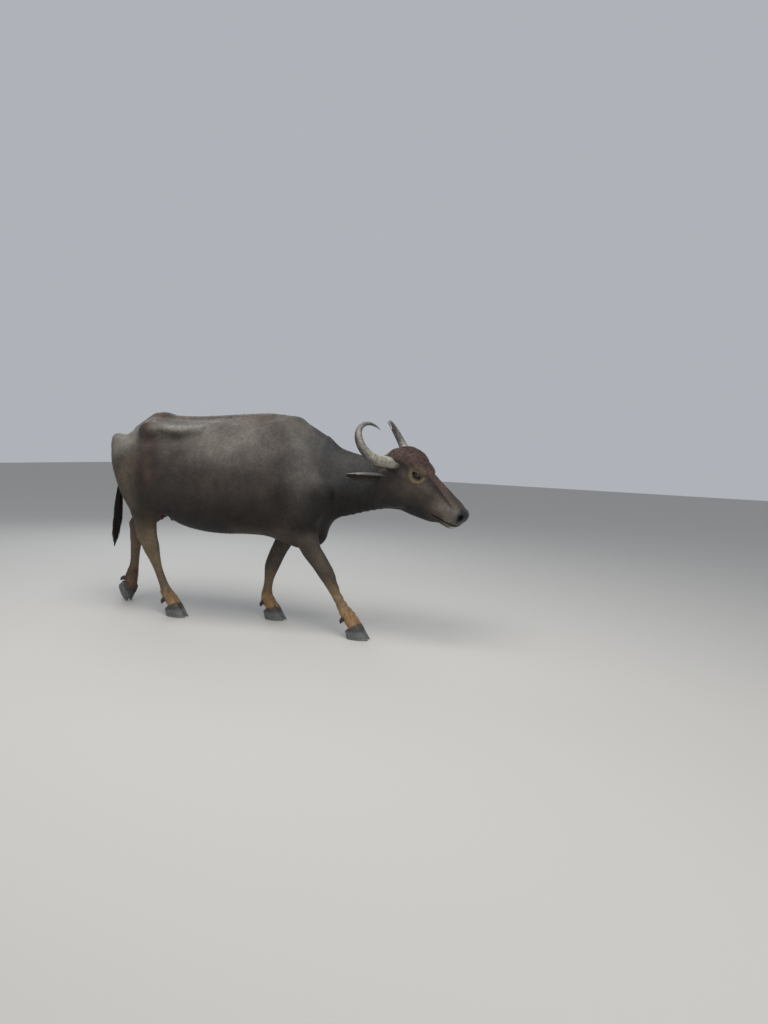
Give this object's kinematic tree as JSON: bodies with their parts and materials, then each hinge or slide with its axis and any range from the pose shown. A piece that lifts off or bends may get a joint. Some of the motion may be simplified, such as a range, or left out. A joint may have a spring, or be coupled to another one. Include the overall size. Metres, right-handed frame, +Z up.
{
  "type": "water buffalo",
  "caption": "Life-size still water buffalo cow, walking with her head low: ringed curled horns, drooping ears, cloven hooves, tufted tail.",
  "frame": {"origin": "on the floor, under the middle of the object's box", "axes": "+X towards the muzzle, +Y to the animal's left, +Z up"},
  "size_m": [2.4414, 0.6936, 1.3085],
  "materials": {
    "hide": "slate grey-brown hide with sparse short hair",
    "leg_hide": "tan and rusty short hair below knee and hock",
    "horn": "grey-beige ringed horn",
    "hoof": "blue-grey slate hoof horn",
    "switch_hair": "black coarse hair",
    "eye": "wet dark brown",
    "udder_skin": "bare dark reddish skin"
  },
  "bodies": {
    "root": {"torso": "hide", "neck": "hide", "head": "hide", "eye_right": "eye", "eye_left": "eye", "horn_right": "horn", "horn_left": "horn", "ear_right": "hide", "ear_left": "hide", "fore_right_upper": "hide", "fore_right_lower": "leg_hide", "fore_right_claw_outer": "hoof", "fore_right_claw_inner": "hoof", "fore_right_dewclaw_outer": "hoof", "fore_right_dewclaw_inner": "hoof", "fore_left_upper": "hide", "fore_left_lower": "leg_hide", "fore_left_claw_outer": "hoof", "fore_left_claw_inner": "hoof", "fore_left_dewclaw_outer": "hoof", "fore_left_dewclaw_inner": "hoof", "hind_right_upper": "hide", "hind_right_lower": "leg_hide", "hind_right_claw_outer": "hoof", "hind_right_claw_inner": "hoof", "hind_right_dewclaw_outer": "hoof", "hind_right_dewclaw_inner": "hoof", "hind_left_upper": "hide", "hind_left_lower": "leg_hide", "hind_left_claw_outer": "hoof", "hind_left_claw_inner": "hoof", "hind_left_dewclaw_outer": "hoof", "hind_left_dewclaw_inner": "hoof", "udder": "udder_skin", "tail": "hide", "tail_switch": "switch_hair"}
  },
  "joints": []
}
